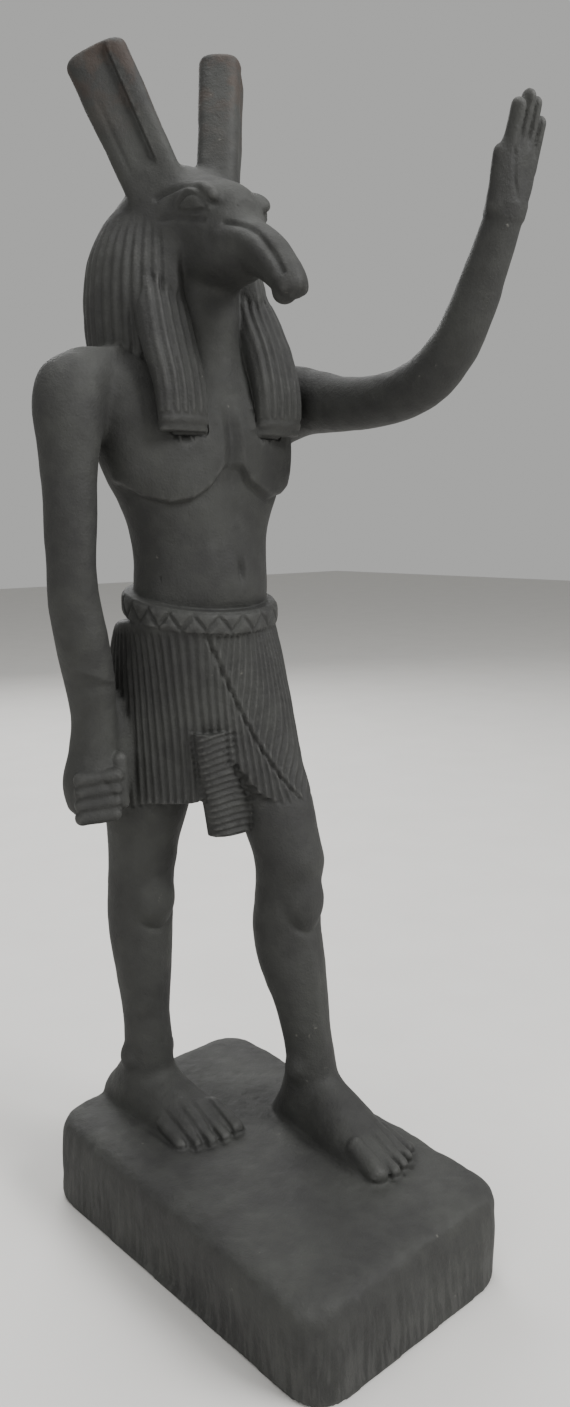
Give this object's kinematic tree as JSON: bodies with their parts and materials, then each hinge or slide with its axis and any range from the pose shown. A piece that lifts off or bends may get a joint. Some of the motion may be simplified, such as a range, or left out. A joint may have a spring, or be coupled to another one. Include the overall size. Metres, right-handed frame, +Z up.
{
  "type": "egyptian god statue",
  "caption": "Dark stone statue of a striding Egyptian god with a curved-snouted, square-eared animal head, one arm raised and one hanging, carved in one with its rough oblong base.",
  "frame": {"origin": "a point near the middle of the base's flat underside", "axes": "+Z up through the figure, -Y the way the figure faces and strides, +X its left side with the raised arm"},
  "size_m": [0.1362, 0.1789, 0.4752],
  "materials": {
    "black_stone": "dull carved dark stone, rubbed a little lighter on its high places"
  },
  "bodies": {
    "root": {"statue": "black_stone"}
  },
  "joints": []
}
